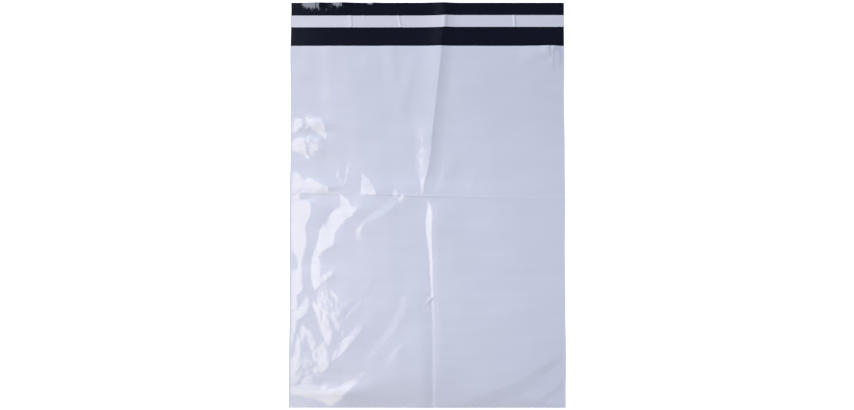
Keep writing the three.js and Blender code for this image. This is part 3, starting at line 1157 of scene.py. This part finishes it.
class Shader:
    """Node tree of one material, with short calls for its nodes and links.

    A Mix node has its two colours and its colour result at fixed places among its sockets.
    """

    NOISE_RANGE = (0.3, 0.7)
    MIX_COLOURS = (6, 7)
    MIX_RESULT = 2

    def __init__(self, name: str) -> None:
        """Makes the material with a Principled shader.

        Args:
            name: Name of the material.
        """
        self.material = bpy.data.materials.new(name)
        self.material.use_nodes = True
        self.tree = self.material.node_tree
        self.surface = self.tree.nodes["Principled BSDF"]

    def node(self, kind: str, **values: object) -> bpy.types.Node:
        """Adds a node.

        Args:
            kind: Type of the node.
            values: Its properties, or its inputs by name with spaces as underscores.

        Returns:
            The node.
        """
        node = self.tree.nodes.new(kind)
        for key, value in values.items():
            if hasattr(node, key):
                setattr(node, key, value)
            else:
                node.inputs[key.replace("_", " ")].default_value = value
        return node

    def link(self, output: bpy.types.NodeSocket, socket: bpy.types.NodeSocket) -> None:
        """Joins an output to an input."""
        self.tree.links.new(output, socket)

    def set(self, **values: object) -> None:
        """Sets inputs of the surface by name, with spaces as underscores."""
        for key, value in values.items():
            self.surface.inputs[key.replace("_", " ")].default_value = value

    def drive(self, name: str, output: bpy.types.NodeSocket) -> None:
        """Joins an output to an input of the surface."""
        self.link(output, self.surface.inputs[name])

    def place(self) -> bpy.types.NodeSocket:
        """Place on the flat cut."""
        return self.node("ShaderNodeUVMap", uv_map=CUT_MAP).outputs["UV"]

    def noise(
        self, scale: float, octaves: float, stretch: tuple[float, float] = (1, 1)
    ) -> bpy.types.NodeSocket:
        """Noise on the flat cut.

        Args:
            scale: Waves for each metre.
            octaves: Levels of ever finer waves.
            stretch: Factors on the scale across and along the cut.

        Returns:
            The noise's value, about 0.5.
        """
        place = self.place()
        mapping = self.node("ShaderNodeMapping", Scale=(*stretch, 1))
        noise = self.node("ShaderNodeTexNoise", Scale=scale, Detail=octaves)
        self.link(place, mapping.inputs["Vector"])
        self.link(mapping.outputs["Vector"], noise.inputs["Vector"])
        return noise.outputs["Fac"]

    def between(self, factor: bpy.types.NodeSocket, low: float, high: float) -> bpy.types.NodeSocket:
        """A factor spread from its middle range to a range of values.

        Args:
            factor: Noise about 0.5.
            low: Value at the low end.
            high: Value at the high end.

        Returns:
            The value.
        """
        start, end = self.NOISE_RANGE
        spread = self.node("ShaderNodeMapRange", From_Min=start, From_Max=end, To_Min=low, To_Max=high)
        self.link(factor, spread.inputs["Value"])
        return spread.outputs["Result"]

    def colour_between(
        self, factor: bpy.types.NodeSocket, low: Colour, high: Colour
    ) -> bpy.types.NodeSocket:
        """A colour between two by a factor.

        Args:
            factor: Noise about 0.5.
            low: Colour at the low end.
            high: Colour at the high end.

        Returns:
            The colour.
        """
        mix = self.node("ShaderNodeMix", data_type="RGBA")
        for socket, colour in zip(self.MIX_COLOURS, (low, high)):
            mix.inputs[socket].default_value = colour
        self.link(self.between(factor, 0, 1), mix.inputs["Factor"])
        return mix.outputs[self.MIX_RESULT]

    def with_painted_light_along_cut(self, colour: bpy.types.NodeSocket, shares: Line) -> bpy.types.NodeSocket:
        """A colour whose strength changes along the flat cut, as painted light and shade.

        Args:
            colour: The colour at full strength.
            shares: Places along the cut, in metres, and the share of the colour at each.

        Returns:
            The colour.
        """
        place = self.place()
        parts = self.node("ShaderNodeSeparateXYZ")
        ramp = self.node("ShaderNodeValToRGB")
        stops = ramp.color_ramp.elements
        while len(stops) < len(shares):
            stops.new(1)
        for stop, (position, share) in zip(stops, shares):
            stop.position, stop.color = position, (share, share, share, 1)
        mix = self.node("ShaderNodeMix", data_type="RGBA", blend_type="MULTIPLY", Factor=1)
        self.link(place, parts.inputs["Vector"])
        self.link(parts.outputs["Y"], ramp.inputs["Fac"])
        for socket, factor in zip(self.MIX_COLOURS, (colour, ramp.outputs["Color"])):
            self.link(factor, mix.inputs[socket])
        return mix.outputs[self.MIX_RESULT]

    def crushed(self) -> bpy.types.NodeSocket:
        """How strongly the surface is crushed into fine grain."""
        return self.node("ShaderNodeAttribute", attribute_name=CRUSH_LAYER).outputs["Fac"]

    def math(
        self, operation: str, first: bpy.types.NodeSocket, second: bpy.types.NodeSocket | float
    ) -> bpy.types.NodeSocket:
        """A sum, product or the larger of two values.

        Args:
            operation: Blender's name of it.
            first: First value.
            second: Second value, a socket or a number.

        Returns:
            The result.
        """
        node = self.node("ShaderNodeMath", operation=operation)
        self.link(first, node.inputs[0])
        if isinstance(second, bpy.types.NodeSocket):
            self.link(second, node.inputs[1])
        else:
            node.inputs[1].default_value = second
        return node.outputs[0]

    def relief(self, height: bpy.types.NodeSocket, depth: float, strength: float) -> None:
        """Fine relief of the surface.

        Args:
            height: Height in units of the depth.
            depth: The unit in millimetres.
            strength: Share of the relief that shows.
        """
        bump = self.node("ShaderNodeBump", Strength=strength, Distance=depth * MM)
        self.link(height, bump.inputs["Height"])
        self.drive("Normal", bump.outputs["Normal"])


@dataclass(frozen=True)
class FilmFinish:
    """Glossy blown film with faint flow lines, a slight orange peel and painted light on the lower front
    wall.
    """

    name: str
    dark: Colour
    light: Colour
    gloss: tuple[float, float]
    flow_scale: float = 30.0
    flow_octaves: float = 4
    flow_stretch: tuple[float, float] = (0.35, 2.4)
    cloud_scale: float = 15.0
    cloud_octaves: float = 3
    peel_scale: float = 210.0
    peel_octaves: float = 3
    peel_depth: float = 0.05
    peel_strength: float = 0.35
    crush_scale: float = 240.0
    crush_octaves: float = 2
    crush_gain: float = 13.0
    refraction: float = 1.5
    shine: Colour = (1, 1, 1, 1)
    haze: float = 0.6
    haze_roughness: float = 0.42
    # Painted light: places along the flat cut, in metres, and the share of the film's colour there, lightest
    # on the lower half of the front wall
    drift: Line = (
        (0.51, 0.943), (0.6, 1), (0.71, 1), (0.79, 0.976), (0.84, 0.943),
    )  # fmt: skip

    def material(self) -> bpy.types.Material:
        """Builds the material.

        Returns:
            The material, with a fine relief that grows where the film is crushed.
        """
        shader = Shader(self.name)
        flow = shader.noise(self.flow_scale, self.flow_octaves, self.flow_stretch)
        tint = shader.colour_between(flow, self.dark, self.light)
        # Painted light: the base colour is made lighter on the lower half of the front wall
        shader.drive("Base Color", shader.with_painted_light_along_cut(tint, self.drift))
        cloud = shader.noise(self.cloud_scale, self.cloud_octaves)
        shader.drive("Roughness", shader.between(cloud, *self.gloss))
        shader.set(IOR=self.refraction, Specular_Tint=self.shine)
        shader.set(Coat_Weight=self.haze, Coat_Roughness=self.haze_roughness)
        peel = shader.noise(self.peel_scale, self.peel_octaves)
        grain = shader.noise(self.crush_scale, self.crush_octaves)
        crush = shader.math("MULTIPLY", shader.crushed(), grain)
        crush = shader.math("MULTIPLY", crush, self.crush_gain)
        shader.relief(shader.math("ADD", peel, crush), self.peel_depth, self.peel_strength)
        return shader.material


@dataclass(frozen=True)
class StripFinish:
    """A strip on the flap, whose colour, gloss and relief follow one grain."""

    name: str
    dark: Colour
    light: Colour
    gloss: tuple[float, float]
    grain_scale: float
    grain_octaves: float
    grain_stretch: tuple[float, float]
    grain_depth: float
    grain_strength: float

    def material(self) -> bpy.types.Material:
        """Builds the material.

        Returns:
            The material.
        """
        shader = Shader(self.name)
        grain = shader.noise(self.grain_scale, self.grain_octaves, self.grain_stretch)
        shader.drive("Base Color", shader.colour_between(grain, self.dark, self.light))
        shader.drive("Roughness", shader.between(grain, *self.gloss))
        shader.relief(grain, self.grain_depth, self.grain_strength)
        return shader.material


@dataclass(frozen=True)
class FloorFinish:
    """White floor: it takes the bag's shadow, and what looks at it sees it white."""

    name: str
    colour: Colour
    glow: float
    roughness: float = 0.9
    glow_colour: Colour = (1, 1, 1, 1)

    def material(self) -> bpy.types.Material:
        """Builds the material.

        Returns:
            The material, which glows only for what looks at it.
        """
        shader = Shader(self.name)
        shader.set(Base_Color=self.colour, Roughness=self.roughness, Specular_IOR_Level=0)
        shader.set(Emission_Color=self.glow_colour)
        path = shader.node("ShaderNodeLightPath")
        seen = path.outputs["Is Camera Ray"]
        for ray in ("Is Glossy Ray", "Is Transmission Ray"):
            seen = shader.math("MAXIMUM", seen, path.outputs[ray])
        shader.drive("Emission Strength", shader.math("MULTIPLY", seen, self.glow))
        return shader.material


OUTER_FILM = FilmFinish(
    "pale_film", (0.639, 0.67, 0.815, 1), (0.662, 0.694, 0.839, 1), (0.11, 0.15)
)
INNER_FILM = FilmFinish(
    "black_film", (0.0044, 0.0043, 0.0112, 1), (0.0061, 0.0062, 0.0142, 1), (0.09, 0.13),
    refraction=2.0, shine=(0.53, 0.66, 1, 1), haze=0,
)  # fmt: skip
# Satin siliconed strip with a fine grain along it
LINER = StripFinish(
    "liner_strip", (0.600, 0.615, 0.735, 1), (0.625, 0.64, 0.76, 1), gloss=(0.38, 0.48),
    grain_scale=500, grain_octaves=3, grain_stretch=(0.1, 1), grain_depth=0.02, grain_strength=0.3,
)  # fmt: skip
# Clear hot-melt glue, tacky and uneven
GLUE = StripFinish(
    "clear_glue", (0.30, 0.27, 0.17, 1), (0.42, 0.38, 0.24, 1), gloss=(0.2, 0.4),
    grain_scale=160, grain_octaves=4, grain_stretch=(0.4, 1), grain_depth=0.04, grain_strength=0.6,
)  # fmt: skip
FLOOR = FloorFinish("white_floor", (0.86, 0.86, 0.87, 1), 0.6)


@dataclass
class FilmBag:
    """The sheet of film, from the flap's edge down the back, round the bottom and up the front."""

    shape: MailerShape
    column_stretches: Stretches = (
        (-66, 1.35), (-14, 2.9), (15, 1.2), (60, 4.0), (136, 5.0), (156, 1.5), (162.5, 2.2),
    )  # fmt: skip
    flap_stretches: Stretches = ((230, 1.1), (189, 3.5))
    back_stretches: Stretches = (
        (18, 14), (13, 2.5), (10, 1), (7, 1), (2, 2.5), (-239, 14),
    )  # fmt: skip
    front_stretches: Stretches = (
        (-95, 1.62), (2, 2.0), (18, 0.75), (40, 1.5), (112, 1.7), (165, 6.0),
    )  # fmt: skip
    lip_step: float = 2.6
    turn: float = 0.3

    def columns(self) -> np.ndarray:
        """Lines of the mesh across the bag."""
        return stepped(-self.shape.half_width, self.column_stretches)

    def build(self) -> bpy.types.Object:
        """Builds the film.

        Returns:
            The film, with its thickness as a modifier.
        """
        shape = self.shape
        down = stepped(shape.top, self.flap_stretches + self.back_stretches)
        up = stepped(down[-1], (*self.front_stretches, (shape.lip(), self.lip_step)))
        turn = np.array((shape.bottom + self.turn,))
        back_rows = np.concatenate((down, turn))
        front_rows = np.concatenate((turn, up))
        columns = self.columns()
        back = self.wall(columns, back_rows, shape.back)
        front = self.wall(columns, front_rows, shape.front)
        edge = (back[-1] + front[0]) / 2
        edge[:, 1] = shape.bottom
        places = np.concatenate((back, edge[None], front))
        cut_rows = np.concatenate(
            (shape.top - back_rows, (shape.top - shape.bottom,), shape.top + front_rows - 2 * shape.bottom)
        )
        across, along = np.meshgrid(columns + shape.half_width, cut_rows)
        piece = grid_piece("film", places, np.dstack((across, along)))
        crush = shape.crush(places[..., 0], places[..., 1]).astype(np.float32)
        layer = piece.data.attributes.new(CRUSH_LAYER, "FLOAT", "POINT")
        layer.data.foreach_set("value", crush.ravel())
        thickness = piece.modifiers.new("film thickness", "SOLIDIFY")
        thickness.thickness = shape.film * MM
        thickness.offset = 0
        thickness.material_offset = 1
        thickness.use_quality_normals = True
        return piece

    def wall(self, columns: np.ndarray, rows: np.ndarray, height: Height) -> np.ndarray:
        """Places of one wall's mesh.

        Args:
            columns: Lines across the bag.
            rows: Lines along the bag.
            height: The wall's height at a place.

        Returns:
            Rows by columns of places.
        """
        x, y = self.shape.along_folds(*np.meshgrid(columns, rows))
        return np.dstack((self.shape.edge_wander(x, y), y, height(x, y)))

    def dress(self, piece: bpy.types.Object, welds: list[bpy.types.Object]) -> None:
        """Args:
            piece: The film.
            welds: The weld beads along its edges. Not used.
        """
        piece.data.materials.append(OUTER_FILM.material())
        piece.data.materials.append(INNER_FILM.material())
        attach(piece, BODY)
        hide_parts(Node.FILM.value)
        flat = (2 * self.shape.half_width * MM, self.shape.cut_length() * MM)


@dataclass
class SideWeld:
    """Bead of molten film along a side, where both walls were cut and sealed with a hot knife."""

    shape: MailerShape
    side: int
    radius: float = 0.28
    flatness: float = 0.7
    step: float = 2.5
    turns: int = 8
    ripple: float = 0.25
    ripple_rate: float = 0.9
    beat_rate: float = 0.23
    merged: float = 0.001

    def build(self) -> bpy.types.Object:
        """Builds the bead.

        Returns:
            A closed tube along the welded edge.
        """
        shape = self.shape
        rows = stepped(shape.bottom, ((shape.lip(), self.step),))
        edge = np.full_like(rows, self.side * shape.half_width)
        middle = (shape.back(edge, rows) + shape.front(edge, rows)) / 2
        x = shape.edge_wander(edge, rows)
        angles = np.linspace(0, 2 * np.pi, self.turns + 1)
        around, along = np.meshgrid(angles, rows)
        ripple = np.sin(self.ripple_rate * rows) * np.sin(self.beat_rate * rows + self.side)
        swell = self.radius * (1 + self.ripple * ripple)
        places = np.dstack(
            (
                x[:, None] + swell[:, None] * np.cos(around),
                along,
                np.maximum(middle, self.radius * self.flatness)[:, None]
                + self.flatness * swell[:, None] * np.sin(around),
            )
        )
        name = "weld_right" if self.side > 0 else "weld_left"
        piece = grid_piece(name, places, np.dstack((around, along)))
        tube = bmesh.new()
        tube.from_mesh(piece.data)
        bmesh.ops.remove_doubles(tube, verts=tube.verts, dist=self.merged * MM)
        bmesh.ops.holes_fill(tube, edges=tube.edges, sides=0)
        bmesh.ops.recalc_face_normals(tube, faces=tube.faces)
        tube.to_mesh(piece.data)
        tube.free()
        return piece

    def dress(self, piece: bpy.types.Object) -> None:
        """Gives the bead the film's outer face.

        Args:
            piece: The bead.
        """
        piece.data.materials.append(OUTER_FILM.material())
        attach(piece, BODY)


@dataclass
class ClosingStrip:
    """Glue band on the flap with its peel-off liner."""

    shape: MailerShape
    columns: np.ndarray
    glue: tuple[float, float]
    liner: tuple[float, float]
    glue_lift: float = 0.06
    glue_thickness: float = 0.04
    liner_lift: float = 0.14
    liner_thickness: float = 0.07
    liner_overhang: float = 0.8
    liner_sag: float = 0.6
    sag_end: tuple[float, float] = (16.0, 26.0)
    kink_reach: float = 5.0
    kink_step: float = 0.5
    step: float = 1.5

    def strip(
        self, name: str, rows: np.ndarray, columns: np.ndarray, height: Height, sag: float
    ) -> bpy.types.Object:
        """A strip that follows the flap.

        Args:
            name: Name of the piece.
            rows: Lines along the bag.
            columns: Lines across the bag.
            height: The strip's height at a place.
            sag: How far it lies out of true to the left of the upright fold.

        Returns:
            The strip, without its thickness.
        """
        x, y = self.shape.along_folds(*np.meshgrid(columns, rows))
        y = y - sag * (1 - smooth((x - self.sag_end[0]) / (self.sag_end[1] - self.sag_end[0])))
        places = np.dstack((x, y, height(x, y)))
        return grid_piece(name, places, np.dstack(np.meshgrid(columns, rows)))

    def thicken(self, piece: bpy.types.Object, thickness: float) -> None:
        """Adds a strip's thickness upwards.

        Args:
            piece: The strip.
            thickness: Its thickness in millimetres.
        """
        modifier = piece.modifiers.new("strip thickness", "SOLIDIFY")
        modifier.thickness = thickness * MM
        modifier.offset = 1

    def build_glue(self) -> bpy.types.Object:
        """Builds the glue band.

        Returns:
            The band, with its thickness as a modifier.
        """
        rows = stepped(self.glue[0], ((self.glue[1], self.step),))
        piece = self.strip(
            "glue_band", rows, self.columns, lambda x, y: self.shape.back(x, y) + self.glue_lift, 0
        )
        self.thicken(piece, self.glue_thickness)
        return piece

    def build_liner(self) -> bpy.types.Object:
        """Builds the liner, kinked in a few places and a little too long at the left end.

        Returns:
            The liner, with its thickness as a modifier.
        """
        rows = stepped(self.liner[0], ((self.liner[1], self.step),))
        columns = self.columns.copy()
        columns[0] -= self.liner_overhang
        near = np.arange(-self.kink_reach, self.kink_reach + self.kink_step, self.kink_step)
        kinks = np.concatenate([kink.middle() + near for kink in LINER_KINKS])
        kinks = self.shape.column(kinks, np.mean(self.liner))
        columns = np.unique(np.concatenate((columns, kinks)))
        piece = self.strip("liner", rows, columns, self.liner_height, self.liner_sag)
        self.thicken(piece, self.liner_thickness)
        return piece

    def liner_height(self, x: np.ndarray, y: np.ndarray) -> np.ndarray:
        """Height of the liner's underside."""
        kinks = sum(kink.heights(x, y) for kink in LINER_KINKS)
        return self.shape.back(x, y) + self.liner_lift + kinks

    def dress(self, glue: bpy.types.Object, liner: bpy.types.Object) -> None:
        """Args:
            glue: The glue band.
            liner: The liner.
        """
        for piece, finish, node, slot in (
            (glue, GLUE, Node.GLUE, Slot.GLUE),
            (liner, LINER, Node.LINER, Slot.LINER),
        ):
            piece.data.materials.append(finish.material())
            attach(piece, BODY)
            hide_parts(node.value)


@dataclass(frozen=True)
class Softbox:
    """A rectangular studio lamp, in metres and watts."""

    name: str
    place: tuple[float, float, float]
    aim: tuple[float, float, float]
    size: tuple[float, float]
    power: float
    colour: tuple[float, float, float]

    def build(self) -> None:
        """Builds the lamp, facing what it is aimed at."""
        lamp = bpy.data.lights.new(self.name, "AREA")
        lamp.shape = "RECTANGLE"
        lamp.size, lamp.size_y = self.size
        lamp.energy = self.power
        lamp.color = self.colour
        box = bpy.data.objects.new(self.name, lamp)
        box.location = self.place
        box.rotation_euler = (Vector(self.aim) - Vector(self.place)).to_track_quat("-Z", "Y").to_euler()
        bpy.context.scene.collection.objects.link(box)


FILL_COLOUR = (0.773, 0.865, 1.0)
SOFTBOXES = (
    Softbox("key", (-0.492, -0.22, 0.962), (0, -0.22, 0), (2.0, 0.30), 8.2, (1.0, 0.86, 0.66)),
    Softbox("fill_upper_left", (-3.6, 4.0, 2.6), (0, 0, 0), (4.0, 2.0), 247.0, FILL_COLOUR),
    Softbox("fill_right", (1.7, -0.4, 0.8), (0, 0, 0), (1.6, 0.6), 5.2, FILL_COLOUR),
)


@dataclass
class Studio:
    """White floor, softboxes, pale walls under a dark ceiling, and the camera that looks down."""

    floor_size: float = 12.0
    floor_drop: float = 0.0002
    wall_colour: Colour = (0.74, 0.83, 0.966, 1)
    ceiling_colour: Colour = (0.05, 0.055, 0.07, 1)
    wall_top: float = 0.45
    ceiling_edge: float = 0.68

    def build(self) -> None:
        """Builds the studio."""
        self.build_floor()
        self.build_world()
        for softbox in SOFTBOXES:
            softbox.build()
        VIEW.build()
        bpy.context.scene.view_settings.view_transform = "Standard"

    def build_floor(self) -> None:
        """Builds the floor that the bag lies on."""
        plane = bmesh.new()
        bmesh.ops.create_grid(plane, x_segments=1, y_segments=1, size=self.floor_size / 2)
        bmesh.ops.translate(plane, verts=plane.verts, vec=(0, 0, -self.floor_drop))
        mesh = bpy.data.meshes.new("floor")
        plane.to_mesh(mesh)
        plane.free()
        mesh.materials.append(FLOOR.material())
        floor = bpy.data.objects.new("floor", mesh)
        bpy.context.scene.collection.objects.link(floor)

    def build_world(self) -> None:
        """Builds the light that comes from the pale walls and hardly from the ceiling."""
        world = bpy.data.worlds.new("studio")
        bpy.context.scene.world = world
        world.use_nodes = True
        nodes, links = world.node_tree.nodes, world.node_tree.links
        direction = nodes.new("ShaderNodeTexCoord")
        parts = nodes.new("ShaderNodeSeparateXYZ")
        ramp = nodes.new("ShaderNodeValToRGB")
        ramp.color_ramp.interpolation = "EASE"
        ramp.color_ramp.elements[0].position = self.wall_top
        ramp.color_ramp.elements[0].color = self.wall_colour
        ramp.color_ramp.elements[1].position = self.ceiling_edge
        ramp.color_ramp.elements[1].color = self.ceiling_colour
        links.new(direction.outputs["Generated"], parts.inputs["Vector"])
        links.new(parts.outputs["Z"], ramp.inputs["Fac"])
        links.new(ramp.outputs["Color"], nodes["Background"].inputs["Color"])


def main() -> None:
    """Builds the bag piece by piece, dresses it and sets it in the studio."""
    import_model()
    film_low, film_high = (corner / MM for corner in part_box(Node.FILM.value))
    glue_low, glue_high = (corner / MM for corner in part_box(Node.GLUE.value))
    liner_low, liner_high = (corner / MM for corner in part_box(Node.LINER.value))
    shape = MailerShape(
        half_width=film_high.x,
        bottom=film_low.y,
        mouth=film_high.y - FLAP_LENGTH,
        top=film_high.y,
    )

    bag = FilmBag(shape)
    film = bag.build()
    weld_makers = [SideWeld(shape, side) for side in (-1, 1)]
    welds = [maker.build() for maker in weld_makers]
    for maker, weld in zip(weld_makers, welds):
        maker.dress(weld)
    bag.dress(film, welds)

    strip = ClosingStrip(
        shape, bag.columns(), glue=(glue_low.y, glue_high.y), liner=(liner_low.y, liner_high.y)
    )
    glue, liner = strip.build_glue(), strip.build_liner()
    strip.dress(glue, liner)

    Studio().build()
    for piece in (film, *welds, glue, liner):
        LOG.info("%s: %d faces before its modifiers", piece.name, len(piece.data.polygons))


if __name__ == "__main__":
    logging.basicConfig(level=logging.INFO, format="%(name)s: %(message)s")
    main()
